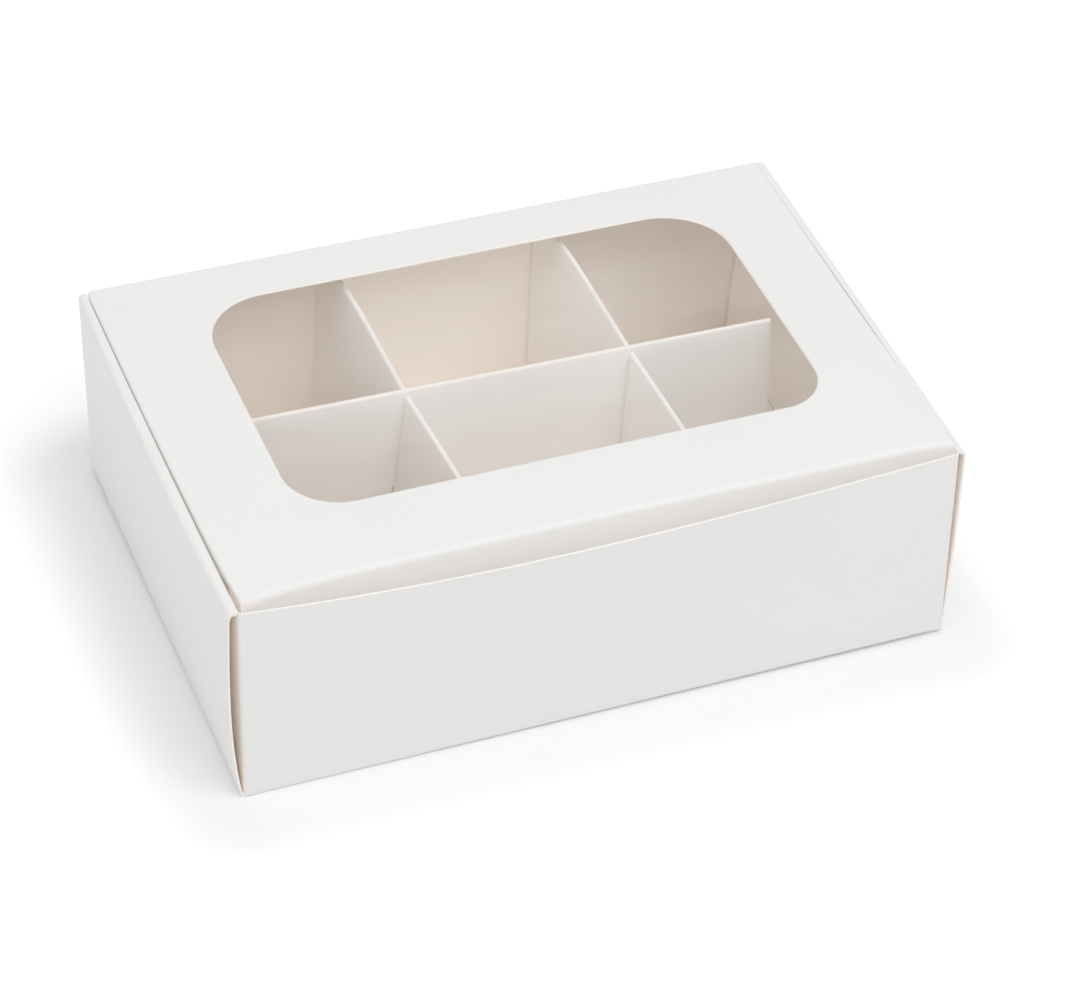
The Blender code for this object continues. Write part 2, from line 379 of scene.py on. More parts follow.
@dataclass(frozen=True)
class CartonSizes:
    """Main places of the carton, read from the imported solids."""

    card: float
    end: float
    front: float
    back: float
    top: float
    bow: float
    wall_top: float
    crease_foot: float
    bead_outer: float
    bead_inner: float
    bead_top: float
    inner_foot: float
    lid_half: float
    lid_front: float
    lid_back: float
    tuck_tip: float
    side_flap_tip: float
    window: tuple[float, float, float, float]
    window_radius: float = 19 * MM
    gap: float = 0.3 * MM
    crease_drop: float = 1.5 * MM
    film_overlap: float = 9 * MM
    front_sag: Pair = (-1.85 * MM, 0.15 * MM)
    back_sag: Pair = (0.9 * MM, 0.6 * MM)

    def sag(self, x: float, y: float) -> float:
        """Find how far the twisted floor stands above its plane.

        Args:
            x: The place across the carton.
            y: The place along its depth.

        Returns:
            The floor's height there, below zero where it hangs down.
        """
        right = share_of(x, -self.end, self.end)
        near = mix(*self.front_sag, right)
        far = mix(*self.back_sag, right)
        return mix(near, far, share_of(y, self.front, self.back))

    def settle(self, x: float, y: float, up: float) -> Vector:
        """Return a point of the tray, moved with the twisted floor below it."""
        return Vector((x, y, up + self.sag(x, y) * max(1 - up / self.top, 0.0)))

    @classmethod
    def from_frame(cls) -> CartonSizes:
        """Read the sizes.

        Returns:
            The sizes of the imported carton.
        """
        base_low, base_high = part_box("base_panel")
        card = base_high.z - base_low.z
        clear = card + cls.gap
        front_low, front_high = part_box("front_wall")
        bead_low, bead_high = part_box("right_end_top_bead")
        lid_low, lid_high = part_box("lid_panel")
        film_low, film_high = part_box("window_film")
        return cls(
            card=card,
            end=base_high.x + clear,
            front=base_low.y - clear,
            back=base_high.y + clear,
            top=lid_high.z,
            bow=base_low.y - clear - front_low.y,
            wall_top=front_high.z,
            crease_foot=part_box("back_wall")[1].z - cls.crease_drop,
            bead_outer=bead_high.x,
            bead_inner=bead_low.x,
            bead_top=bead_high.z,
            inner_foot=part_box("right_end_inner_panel")[0].x,
            lid_half=lid_high.x,
            lid_front=lid_low.y,
            lid_back=lid_high.y,
            tuck_tip=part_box("lid_tuck_flap")[0].z,
            side_flap_tip=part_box("lid_left_flap")[0].z,
            window=(
                film_low.x + cls.film_overlap,
                film_low.y + cls.film_overlap,
                film_high.x - cls.film_overlap,
                film_high.y - cls.film_overlap,
            ),
        )


def pick(piece: Object) -> None:
    """Select one object and make it the active one.

    Args:
        piece: The object.
    """
    bpy.ops.object.select_all(action="DESELECT")
    piece.select_set(True)
    bpy.context.view_layer.objects.active = piece


def freeze(piece: Object) -> None:
    """Put an object's place, turn and scale into its mesh."""
    pick(piece)
    bpy.ops.object.transform_apply(location=True, rotation=True, scale=True)


def apply_modifier(piece: Object, kind: str, **settings: object) -> None:
    """Add a modifier with these settings and apply it.

    Args:
        piece: The object.
        kind: The modifier's type.
        **settings: Values of its fields.
    """
    pick(piece)
    modifier = piece.modifiers.new(kind.lower(), kind)
    for field, value in settings.items():
        setattr(modifier, field, value)
    bpy.ops.object.modifier_apply(modifier=modifier.name)


def smooth(piece: Object, degrees: float = 35) -> None:
    """Shade a piece smooth, except across edges sharper than an angle."""
    pick(piece)
    bpy.ops.object.shade_smooth_by_angle(angle=math.radians(degrees))


def sheet_along(
    name: str,
    section: list[SectionPoint],
    stations: list[Station],
    place: Callable[[Station, SectionPoint], Vector],
    outwards: Vector,
    stock: CardStock | None = None,
) -> Object:
    """Make an open sheet by sweeping a cross section along its stations.

    Args:
        name: The piece's name.
        section: Points of the cross section.
        stations: Places along the sweep.
        place: Gives the point for a station and a section point.
        outwards: A direction in which the sheet's furthest face looks out.
        stock: The board's finishes, where the sheet is card.

    Returns:
        The sheet, with its faces turned outwards and plain where the section is plain.
    """
    bpy.ops.object.select_all(action="DESELECT")
    columns = len(stations) - 1
    rows = len(section) - 1
    bpy.ops.mesh.primitive_grid_add(x_subdivisions=columns, y_subdivisions=rows, size=2)
    sheet = bpy.context.object
    sheet.name = name
    if stock:
        stock.dress(sheet)
        # Plain rows take the inside finish: bare board, and on the tray's corner flaps painted warm
        # shade.
        for face in sheet.data.polygons:
            row = int((face.center.y + 1) / 2 * rows)
            if section[row].plain and section[row + 1].plain:
                face.material_index = Face.INSIDE
    for vert in sheet.data.vertices:
        column = round((vert.co.x + 1) / 2 * columns)
        row = round((vert.co.y + 1) / 2 * rows)
        vert.co = place(stations[column], section[row])
    sheet.data.update()
    furthest = max(sheet.data.polygons, key=lambda face: face.center.dot(outwards))
    if furthest.normal.dot(outwards) < 0:
        pick(sheet)
        bpy.ops.object.mode_set(mode="EDIT")
        bpy.ops.mesh.select_all(action="SELECT")
        bpy.ops.mesh.flip_normals()
        bpy.ops.object.mode_set(mode="OBJECT")
    return sheet


def thicken(sheet: Object, card: float) -> None:
    """Turn a sheet into card, with its thickness on its inside.

    Args:
        sheet: The open sheet, whose faces look outwards.
        card: The board's thickness.
    """
    apply_modifier(
        sheet,
        "SOLIDIFY",
        thickness=card,
        offset=-1.0,
        use_even_offset=True,
        material_offset=int(Face.INSIDE),
        material_offset_rim=int(Face.CUT),
    )
    smooth(sheet)


def block(name: str, low: Vector, high: Vector) -> Object:
    """Add a cube that fills a box.

    Args:
        name: The object's name.
        low: The box's lowest corner.
        high: The box's highest corner.

    Returns:
        The cube, with its place in its mesh.
    """
    bpy.ops.object.select_all(action="DESELECT")
    bpy.ops.mesh.primitive_cube_add(size=1, location=(low + high) / 2)
    cube = bpy.context.object
    cube.name = name
    cube.scale = high - low
    freeze(cube)
    return cube


def cut_away(piece: Object, cutter: Object) -> None:
    """Cut one object out of another, and remove the cutter."""
    apply_modifier(piece, "BOOLEAN", operation="DIFFERENCE", solver="EXACT", object=cutter)
    bpy.data.objects.remove(cutter, do_unlink=True)


def edit_edges(piece: Object, wanted: EdgeTest) -> None:
    """Enter edit mode with the edges selected whose two ends pass a test.

    Args:
        piece: The object.
        wanted: Takes the ends of an edge, and says whether it is selected.
    """
    pick(piece)
    bpy.ops.object.mode_set(mode="EDIT")
    bpy.ops.mesh.select_mode(type="EDGE")
    bpy.ops.mesh.select_all(action="DESELECT")
    bpy.ops.object.mode_set(mode="OBJECT")
    verts = piece.data.vertices
    for edge in piece.data.edges:
        start, end = (verts[index].co for index in edge.vertices)
        edge.select = wanted(start, end)
    bpy.ops.object.mode_set(mode="EDIT")


def bevel_edges(piece: Object, wanted: EdgeTest, width: float, segments: int) -> None:
    """Bevel the edges whose two ends pass a test.

    Args:
        piece: The object.
        wanted: Says which edges.
        width: The bevel's width.
        segments: How many faces it has.
    """
    edit_edges(piece, wanted)
    bpy.ops.mesh.bevel(offset=width, segments=segments, affect="EDGES", clamp_overlap=True)
    bpy.ops.object.mode_set(mode="OBJECT")


def divide(piece: Object, wanted: EdgeTest, cuts: int) -> None:
    """Divide the edges whose two ends pass a test, and the faces between them.

    Args:
        piece: The object.
        wanted: Says which edges.
        cuts: How many cuts each edge gets.
    """
    edit_edges(piece, wanted)
    bpy.ops.mesh.subdivide(number_cuts=cuts, smoothness=0)
    bpy.ops.object.mode_set(mode="OBJECT")


def seat(piece: Object, body: str, slot: str, *nodes: str) -> None:
    """Let a piece ride on a body and stand for CAD nodes.

    Args:
        piece: The finished object.
        body: The CAD body that it moves with.
        slot: A material slot's name; not used.
        *nodes: The CAD nodes that it replaces.
    """
    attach(piece, body)
    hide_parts(*nodes)
    LOG.info("%s rides on %s", piece.name, body)


def seat_bending(
    piece: Object, bodies: tuple[str, str], start: Vector, end: Vector, *nodes: str
) -> None:
    """Put a folded card piece's place into its mesh and stand for CAD nodes.

    Args:
        piece: The finished object.
        bodies: The two CAD bodies.
        start: Where it stops following the first one; not used.
        end: Where it follows the second one; not used.
        *nodes: The CAD nodes that it replaces.
    """
    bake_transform(piece)
    if nodes:
        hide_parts(*nodes)
    LOG.info("%s bends from %s to %s", piece.name, *bodies)


@dataclass(frozen=True)
class EndRoll:
    """How one end wall is rolled: its bead's slope and folds, its bulge, and its top's bow and rise."""

    slope: float
    fold: float
    inner_fold: float
    bulge: float
    bow: Triple
    rise: Pair


@dataclass
class Tray:
    """The folded tray: floor, bowed front wall, back wall and rolled double end walls."""

    sizes: CartonSizes
    stock: CardStock
    # Folds
    fold: float = 0.7 * MM
    corner_fold: float = 1.0 * MM
    clear: float = 0.15 * MM
    # Corner flaps
    flap_reach: float = 45 * MM
    flap_top: float = 58 * MM
    flap_taper: float = 7 * MM
    flap_drop_rate: float = 12.0
    flap_flare_rate: float = 5.0
    # Front wall
    bow_skew: float = 0.35
    bow_power: float = 1.4
    left_edge_out: Pair = (0.1 * MM, 0.9 * MM)
    right_edge_out: Pair = (0.7 * MM, 0.4 * MM)
    # End walls
    left_roll: EndRoll = EndRoll(
        slope=18.0,
        fold=1.7 * MM,
        inner_fold=0.3 * MM,
        bulge=1.7 * MM,
        bow=(1.3 * MM, 4.1 * MM, -5.4 * MM),
        rise=(0.0, 0.0),
    )
    right_roll: EndRoll = EndRoll(
        slope=4.0,
        fold=1.4 * MM,
        inner_fold=0.25 * MM,
        bulge=0.5 * MM,
        bow=(0.1 * MM, 0.7 * MM, 0.0),
        rise=(0.15 * MM, -0.95 * MM),
    )
    roll_gap: float = 0.5 * MM
    inner_turn: float = 185.0
    bulge_reach: float = 30 * MM
    bulge_power: float = 0.75
    rise_power: int = 4
    row_power: float = 1.5
    inner_follow: float = 0.35
    inner_belly: float = 1.3 * MM
    inner_foot_in: float = 0.9 * MM
    front_setback: float = 3.0 * MM
    back_setback: float = 0.6 * MM
    # Lock tabs
    tab_width: float = 24 * MM
    tab_spacing: float = 68 * MM
    tab_foot: float = 0.1 * MM

    def build(self) -> None:
        """Build every sheet of the tray."""
        self.build_floor()
        for wall in CrossWall:
            self.build_cross_wall(wall)
        for side in Side:
            self.build_end_wall(side)

    @property
    def tab_rows(self) -> list[float]:
        """Return where along the depth the lock tabs stand."""
        middle = (self.sizes.front + self.sizes.back) / 2
        return [middle + row * self.tab_spacing / 2 for row in (-1, 1)]

    def inner_x(self, height: float) -> float:
        """Find where an inner end panel stands.

        Args:
            height: A height on the panel.

        Returns:
            Its distance from the middle there.
        """
        foot = self.sizes.inner_foot - self.inner_foot_in
        share = share_of(height, 0, self.sizes.bead_top)
        straight = mix(foot, self.sizes.bead_inner, share)
        return straight - self.inner_belly * math.sin(math.pi * share)

    def build_floor(self) -> None:
        """Make the floor panel with the lock slots of the end walls."""
        sizes = self.sizes
        low = Vector((self.fold - sizes.end, sizes.front + self.fold, 0))
        high = Vector((sizes.end - self.fold, sizes.back - self.fold, sizes.card))
        floor = block("floor_panel", low, high)
        divide(floor, lambda a, b: abs(a.x - b.x) > sizes.end, cuts=19)
        divide(floor, lambda a, b: abs(a.y - b.y) > sizes.end, cuts=13)
        near = self.inner_x(sizes.card / 2) - self.clear
        far = near + sizes.card + 2 * self.clear
        half_y = self.tab_width / 2 + sizes.gap
        for side in Side:
            left, right = sorted((side * near, side * far))
            for y in self.tab_rows:
                low = Vector((left, y - half_y, -sizes.card))
                cut_away(floor, block("slot", low, Vector((right, y + half_y, 2 * sizes.card))))
        self.stock.dress(floor)
        kinds = {1: Face.INSIDE, 0: Face.CUT, -1: Face.OUTSIDE}
        for face in floor.data.polygons:
            face.material_index = kinds[round(face.normal.z)]
        for vert in floor.data.vertices:
            vert.co.z += sizes.sag(vert.co.x, vert.co.y)
        seat(floor, "tray", "coated_card", "base_panel")

    def wall_profile(self, top: float) -> list[Pair]:
        """Lay out a wall's profile, rolled in at its foot.

        Args:
            top: The wall's height.

        Returns:
            How far in the wall stands, and how high, from foot to top.
        """
        fold = self.fold
        turns = spread(0, math.pi / 2, steps=4)
        foot = [(fold * (1 - math.sin(turn)), fold * (1 - math.cos(turn))) for turn in turns]
        return foot + [(0.0, height) for height in spread(fold, top, steps=14)[1:]]

    def bow_at(self, x: float, height: float) -> float:
        """Find how far the front wall stands out.

        Args:
            x: The place across the carton.
            height: The height on the wall.

        Returns:
            The distance in front of the wall's plane.
        """
        along = min(max(x / self.sizes.end, -1.0), 1.0)
        rise = max(height / self.sizes.wall_top, 0.0) ** self.bow_power
        return self.sizes.bow * (1 - along ** 2) * (1 - self.bow_skew * along) * rise

    def cross_plan(self, half: float) -> list[SectionPoint]:
        """Lay out a cross wall with its two corner flaps, as seen from above.

        Args:
            half: Half the wall's length.

        Returns:
            Points whose run goes from 1 at a flap's tip to 0 on the wall.
        """
        radius = self.corner_fold
        # The corner flaps and the inner half of each corner fold are coated board but are marked plain:
        # their warm finish is painted shade for the dark gap between flap and end wall.
        left = [
            SectionPoint(-half, radius + run * self.flap_reach, run, True)
            for run in spread(1, 0, steps=10)[:-1]
        ]
        corner = arc((radius - half, radius), radius, 180, 270, steps=6)
        left += [point._replace(plain=True) for point in corner[:3]] + corner[3:]
        wall = level(radius - half, half - radius, steps=56)[1:-1]
        return left + wall + [point._replace(across=-point.across) for point in left[-2::-1]]

    def build_cross_wall(self, wall: CrossWall) -> None:
        """Make the front or back wall in one sheet with its two corner flaps.

        Args:
            wall: Which wall.
        """
        sizes = self.sizes
        at_front = wall is CrossWall.FRONT
        face = sizes.front if at_front else sizes.back
        top = sizes.wall_top if at_front else sizes.crease_foot
        half = sizes.end - sizes.card - self.clear
        radius = self.corner_fold

        def place(station: Pair, point: SectionPoint) -> Vector:
            """Find a point of the wall or of its flaps.

            Args:
                station: How far in and how high the wall's profile is.
                point: The point of the plan.

            Returns:
                The point.
            """
            inset, height = station
            x = point.across
            y = point.up
            if point.run > 0:
                drop = (top - self.flap_top) * ease(point.run * self.flap_drop_rate)
                taper = self.flap_taper * point.run
                low = sizes.card + sizes.gap + taper
                high = top - drop - taper
                height = low + (high - low) * height / top
            else:
                y += inset * ease((half - abs(x) - radius) / (2 * radius))
                if at_front:
                    y -= self.bow_at(x, height)
            away = ease(point.run * self.flap_flare_rate)
            share = height / sizes.wall_top
            edge_out = self.left_edge_out if x < 0 else self.right_edge_out
            out = mix(*edge_out, share) * (1 - away) * at_front
            out += (sizes.bead_outer - sizes.end) * share * away
            x += math.copysign(out * ease(2 * abs(x) / half - 1), x)
            return sizes.settle(x, face + wall * y, height)

        name = f"{wall.word}_wall_sheet"
        profile = self.wall_profile(top)
        outwards = Vector((0, -wall, 0))
        sheet = sheet_along(name, self.cross_plan(half), profile, place, outwards, self.stock)
        thicken(sheet, sizes.card)
        flaps = [f"{wall.word}_{side.word}_corner_flap" for side in Side]
        seat(sheet, "tray", "coated_card", f"{wall.word}_wall", *flaps)

    def end_section(self, roll: EndRoll) -> list[SectionPoint]:
        """Lay out a right end wall's section: outer panel, rolled bead and inner panel.

        Args:
            roll: How it is rolled.

        Returns:
            Points whose run goes from 0 on the outer panel to 1 on the inner panel.
        """
        sizes = self.sizes
        turn = math.radians(roll.slope)
        small = roll.inner_fold
        width = sizes.bead_outer - sizes.bead_inner
        rise = (width - roll.fold - small) * math.tan(turn)
        shoulder = sizes.bead_top - small - rise - (roll.fold - small) * math.cos(turn)
        lean = (sizes.bead_outer - sizes.end) / shoulder
        points = [
            SectionPoint(sizes.end - inset + lean * height, height)
            for inset, height in self.wall_profile(shoulder - self.roll_gap)
        ]
        outer = (sizes.bead_outer - roll.fold, shoulder)
        points += arc(outer, roll.fold, 0, 90 - roll.slope, steps=9, run=0.1)
        inner = (sizes.bead_inner + small, sizes.bead_top - small)
        points += arc(inner, small, 90 - roll.slope, self.inner_turn, steps=7, run=0.5)
        points[-1] = points[-1]._replace(plain=True)
        heights = spread(points[-1].up, sizes.card + sizes.gap, steps=14)[1:]
        return points + [SectionPoint(self.inner_x(height), height, 1, True) for height in heights]

    def build_end_wall(self, side: Side) -> None:
        """Make one double end wall in one rolled sheet, with its two lock tabs.

        Args:
            side: Which end.
        """
        sizes = self.sizes
        roll = self.left_roll if side is Side.LEFT else self.right_roll

        def place(station: float, point: SectionPoint) -> Vector:
            """Find a point of the end wall.

            Args:
                station: The share of the way from front to back.
                point: The point of the section.

            Returns:
                The point.
            """
            inside = point.run == 1
            near = sizes.front + sizes.gap + self.front_setback * inside
            far = sizes.back - sizes.gap - self.back_setback * inside
            y = mix(near, far, station)
            x = point.across
            share = share_of(point.up, 0, sizes.top)
            if point.run == 0:
                reach = math.exp(-(((y - sizes.front) / self.bulge_reach) ** 2))
                x += roll.bulge * math.sin(math.pi * share ** self.bulge_power) * reach
            follow = 1 - (1 - self.inner_follow) * ease(2 * point.run)
            bow = sum(part * station ** power for power, part in enumerate(roll.bow))
            x += bow * share * follow
            rise = roll.rise[0] * (1 - station) ** 2 + roll.rise[1] * station ** 2
            return sizes.settle(side * x, y, point.up + rise * share ** self.rise_power)

        name = f"{side.word}_end_sheet"
        stations = [step ** self.row_power for step in spread(0, 1, steps=32)]
        outwards = Vector((side, 0, 0))
        sheet = sheet_along(name, self.end_section(roll), stations, place, outwards, self.stock)
        thicken(sheet, sizes.card)
        x = self.inner_x(sizes.card / 2)
        left, right = sorted((side * x, side * (x + sizes.card)))
        for y in self.tab_rows:
            low = Vector((left, y - self.tab_width / 2, self.tab_foot))
            high = Vector((right, y + self.tab_width / 2, sizes.card + 2 * sizes.gap))
            tab = block("tab", low, high)
            self.stock.dress(tab)
            for vert in tab.data.vertices:
                vert.co.z += sizes.sag(side * x, y)
            pick(sheet)
            tab.select_set(True)
            bpy.ops.object.join()
        parts = [f"{side.word}_end_{part}" for part in ("outer_panel", "top_bead", "inner_panel")]
        seat(sheet, "tray", "coated_card", *parts)


@dataclass
class Lid:
    """The hinged lid: window panel, rolled side and front flaps, and the crease at the back."""

    sizes: CartonSizes
    stock: CardStock
    film: Material
    # Seams and folds
    seam: float = 2.0 * MM
    side_reach: float = 1.0 * MM
    left_fold: float = 1.0 * MM
    right_fold: float = 0.45 * MM
    front_fold: float = 2.15 * MM
    front_start: float = 3.0 * MM
    back_fold: float = 0.9 * MM
    back_corner: float = 1.5 * MM
    # Shape of the face
    dome: float = 0.6 * MM
    corner_dip: float = 0.8 * MM
    corner_rise: float = 0.85 * MM
    dip_reach: float = 20 * MM
    back_left_rise: float = 0.5 * MM
    back_right_drop: float = 0.9 * MM
    # Side edges
    left_bow: float = 0.7 * MM
    left_gape: float = 0.75 * MM
    left_gap: float = 0.08 * MM
    left_back: float = 0.35 * MM
    left_back_power: int = 8
    gape_reach: float = 30 * MM
    right_reach: Pair = (0.6 * MM, 0.68 * MM)
    right_gape: float = 0.3 * MM
    right_gape_power: int = 4
    # Window and film
    film_clear: float = 0.05 * MM
    window_near: float = 0.55 * MM
    near_left_corner: float = 16.2 * MM
    near_right_corner: float = 13.8 * MM
    rim: float = 0.35 * MM
    rim_normal: float = 0.9
    # Side flaps
    left_lean: Pair = (11.0, 2.0 * MM)
    right_lean: Pair = (14.0, 0.3 * MM)
    flap_corner: float = 9 * MM
    flap_nose: float = 6 * MM
    flap_heel: float = 1.5 * MM
    flap_least: float = 0.3 * MM
    # Front flap
    tuck_extra: float = 1.5 * MM
    tuck_half: float = 97 * MM
    tuck_corner: float = 11 * MM
    tuck_full: float = 4 * MM
    tuck_narrow_rate: float = 3.0
    tuck_first_turn: float = 76.0
    tuck_spring: float = 10.0
    tuck_curve: float = 12 * MM
    tuck_ends: Pair = (0.0, 1.4 * MM)
    tuck_nose: float = 1.5 * MM
    tuck_nose_power: int = 16
    soft_folds: float = 3.0
    left_softness: float = 0.45
    softness_power: int = 4
    roll_fade_rate: float = 4.0
    lift_fade: float = 0.6

    def build(self) -> None:
        """Build the lid's sheets and its window film."""
        self.build_panel()
        self.build_tuck()
        for side in Side:
            self.build_side(side)
        self.build_crease()
        self.build_film()

    @property
    def roll_front(self) -> float:
        """Return where the lid's face starts to roll over into its front flap."""
        return self.sizes.lid_front + self.front_start

    def swell(self, x: float, y: float) -> float:
        """Find how far the lid's face stands above its plane.

        Args:
            x: The place across the carton.
            y: The place along its depth.

        Returns:
            The height of the lid's dome, twist and bent corners there.
        """
        sizes = self.sizes
        across = share_of(abs(x), 0, sizes.lid_half + self.side_reach)
        middle = (sizes.lid_front + sizes.lid_back) / 2
        along = share_of(abs(y - middle), 0, sizes.lid_back - middle)
        rise = self.dome * (1 - across ** 2) * (1 - along ** 2)
        twist = (self.back_left_rise + self.back_right_drop) / 2 * -x / sizes.lid_half
        twist += (self.back_left_rise - self.back_right_drop) / 2
        depth = share_of(y, sizes.lid_front, sizes.lid_back)
        left_away = math.hypot(x + sizes.lid_half, y - sizes.lid_front) / self.dip_reach
        right_away = math.hypot(x - sizes.lid_half, y - sizes.lid_front) / self.dip_reach
        corners = self.corner_rise * math.exp(-right_away ** 2)
        corners -= self.corner_dip * math.exp(-left_away ** 2)
        return rise + twist * depth ** 2 + corners

    def edge(self, side: float, y: float) -> float:
        """Find the lid's side edge.

        Args:
            side: Below zero on the left.
            y: The place along the depth.

        Returns:
            How far the edge is from the middle there.
        """
        sizes = self.sizes
        full = sizes.lid_half + self.side_reach
        share = share_of(y, sizes.lid_front, sizes.lid_back)
        wave = math.sin(math.pi * share)
        if side < 0:
            ahead = max(y - sizes.lid_front, 0) / self.gape_reach
            bow = self.left_bow * wave + self.left_back * share ** self.left_back_power
            return full + bow - self.left_gape * max(1 - ahead, 0) ** 2 - self.left_gap
        near, far = self.right_reach
        gape = self.right_gape * wave ** self.right_gape_power
        return full + near + (far - near) * share - gape

    def side_fold(self, side: float) -> float:
        """Return the radius of the fold along one side of the lid."""
        return self.left_fold if side < 0 else self.right_fold

    def roll(self, side: float, inset: float) -> float:
        """Find how far a rolled side edge has turned away.

        Args:
            side: Below zero on the left.
            inset: The distance in from the edge.

        Returns:
            The distance below the lid's face there.
        """
        fold = self.side_fold(side)
        if inset >= fold:
            return 0.0
        return fold - math.sqrt(fold ** 2 - (fold - inset) ** 2)

    def rolled_stations(self) -> list[float]:
        """Choose places across the lid, closer together at its rolled edges.

        Returns:
            Shares of the half width, from -1 to 1.
        """
        full = self.sizes.lid_half + self.side_reach
        ends = {}
        for side in Side:
            fold = self.side_fold(side) / full
            turns = spread(0, math.pi / 2, steps=7)
            ends[side] = [1 - fold * (1 - math.cos(turn)) for turn in turns]
        left, right = ends[Side.LEFT], ends[Side.RIGHT]
        middle = spread(-left[-1], right[-1], steps=54)
        return [-end for end in left[:-1]] + middle + right[-2::-1]

    def build_panel(self) -> None:
        """Make the flat lid panel with its round-cornered window."""
        sizes = self.sizes
        half = sizes.lid_half - self.seam
        xs = level(-half, half, steps=60)
        ys = spread(self.roll_front + self.seam, sizes.lid_back - self.seam, steps=44)

        def place(station: float, point: SectionPoint) -> Vector:
            """Return a point of the flat panel."""
            return Vector((point.across, station, sizes.top))

        panel = sheet_along("lid_sheet", xs, ys, place, Vector((0, 0, 1)), self.stock)
        thicken(panel, sizes.card)
        cut_away(panel, self.window_cutter(reach=5 * sizes.card, flare=0.0))
        cut_away(panel, self.window_cutter(reach=self.rim, flare=2 * self.rim))
        for face in panel.data.polygons:
            if abs(face.normal.z) < self.rim_normal:
                face.material_index = Face.CUT
        for vert in panel.data.vertices:
            vert.co.z += self.swell(vert.co.x, vert.co.y)
        smooth(panel)
        seat(panel, "lid", "coated_card", "lid_panel")

    def window_cutter(self, reach: float, flare: float) -> Object:
        """Make a round-cornered block with the window's outline.

        Args:
            reach: How far it stands above and below the lid's face.
            flare: How much wider it is on each side at its top than at its foot.

        Returns:
            The block.
        """
        sizes = self.sizes
        left, near, right, far = sizes.window
        near -= self.window_near
        low = Vector((left, near, sizes.top - reach))
        window = block("window", low, Vector((right, far, sizes.top + reach)))
        corners = {
            (left, near): self.near_left_corner,
            (right, near): self.near_right_corner,
            (left, far): sizes.window_radius,
            (right, far): sizes.window_radius,
        }
        for corner, radius in corners.items():
            spot = Vector(corner)

            def at_corner(start: Vector, end: Vector) -> bool:
                """Say whether an edge stands at the corner."""
                return max((start.xy - spot).length, (end.xy - spot).length) < MM

            bevel_edges(window, at_corner, radius, segments=14)
        middle = Vector(((left + right) / 2, (near + far) / 2))
        for vert in window.data.vertices:
            if vert.co.z > sizes.top:
                vert.co.x += (vert.co.x - middle.x) * 2 * flare / (right - left)
                vert.co.y += (vert.co.y - middle.y) * 2 * flare / (far - near)
        window.data.update()
        return window

    def build_film(self) -> None:
        """Make the window film, which follows the underside of the lid's face."""
        low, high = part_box("window_film")
        xs = level(low.x, high.x, steps=40)
        ys = spread(low.y, high.y, steps=30)
        under = self.sizes.top - self.sizes.card - self.film_clear

        def place(station: float, point: SectionPoint) -> Vector:
            """Return a point of the film's upper face."""
            return Vector((point.across, station, under + self.swell(point.across, station)))

        sheet = sheet_along("film_sheet", xs, ys, place, Vector((0, 0, 1)))
        sheet.data.materials.append(self.film)
        apply_modifier(sheet, "SOLIDIFY", thickness=high.z - low.z, offset=-1.0)
        smooth(sheet)
        seat(sheet, "lid", "clear_film", "window_film")

    def tuck_path(self, fold: float, first: float, along: float) -> Triple:
        """Follow the front flap from the start of its fold.

        Args:
            fold: The crease's radius.
            first: How far the crease itself turns, in radians.
            along: The distance along the card.

        Returns:
            How far forward and down the card has come there, and how far it has turned.
        """
        crease = fold * first
        rest = math.pi / 2 - first
        wide = self.tuck_curve / rest
        turn = min(along, crease) / fold
        forward = fold * math.sin(turn)
        down = fold * (1 - math.cos(turn))
        if along > crease:
            turn = first + min(along - crease, self.tuck_curve) / wide
            forward += wide * (math.sin(turn) - math.sin(first))
            down += wide * (math.cos(first) - math.cos(turn))
            down += max(along - crease - self.tuck_curve, 0)
        return forward, down, turn

    def build_tuck(self) -> None:
        """Make the front flap, which rolls over the lid's front edge and springs out as it tucks in."""
        sizes = self.sizes
        length = sizes.top - sizes.tuck_tip + self.tuck_extra
        soft = self.soft_folds * self.front_fold
        section = level(-self.seam, 0, steps=3)[:-1] + level(0, soft, steps=20)[:-1]
        section += level(soft, length, steps=14)

        def place(station: float, point: SectionPoint) -> Vector:
            """Find a point of the flap.

            Args:
                station: The share of the half width, below zero on the left.
                point: The point of the section, with its distance along the card.

            Returns:
                The point.
            """
            along = point.across
            spring = math.radians(self.tuck_spring) * (1 - station ** 2)
            first = math.radians(self.tuck_first_turn) - spring
            softness = self.left_softness * min(station, 0) ** self.softness_power
            fold = self.front_fold * (1 + softness)
            forward, down, turn = self.tuck_path(fold, first, max(along, 0))
            ends = self.tuck_ends[0] if station < 0 else self.tuck_ends[1]
            ends = ends * station ** 2 + self.tuck_nose * station ** self.tuck_nose_power
            forward += ends * (1 + min(along, 0) / self.seam)
            y = self.roll_front - min(along, 0) - forward
            half = self.edge(station, y)
            narrowing = ease((along - self.tuck_full) / length * self.tuck_narrow_rate)
            half = mix(half, self.tuck_half, narrowing)
            left = length - along
            if left < self.tuck_corner:
                short = self.tuck_corner - left
                half -= self.tuck_corner - math.sqrt(self.tuck_corner ** 2 - short ** 2)
            x = station * half
            rolled = 1 - ease(along / length * self.roll_fade_rate)
            away = self.roll(station, (1 - abs(station)) * half) * rolled
            lift = self.swell(x, max(y, sizes.lid_front))
            lift *= 1 - self.lift_fade * max(along, 0) / length
            z = sizes.top - down + lift - away * math.cos(turn)
            return Vector((x, y + away * math.sin(turn), z))

        stations = self.rolled_stations()
        outwards = Vector((0, -1, 0))
        sheet = sheet_along("tuck_flap_sheet", section, stations, place, outwards, self.stock)
        thicken(sheet, sizes.card)
        start = Vector((0, self.roll_front, sizes.top))
        end = start + Vector((0, -self.front_fold, -self.front_fold))
        seat_bending(sheet, ("lid", "tuck_flap"), start, end, "lid_tuck_flap")

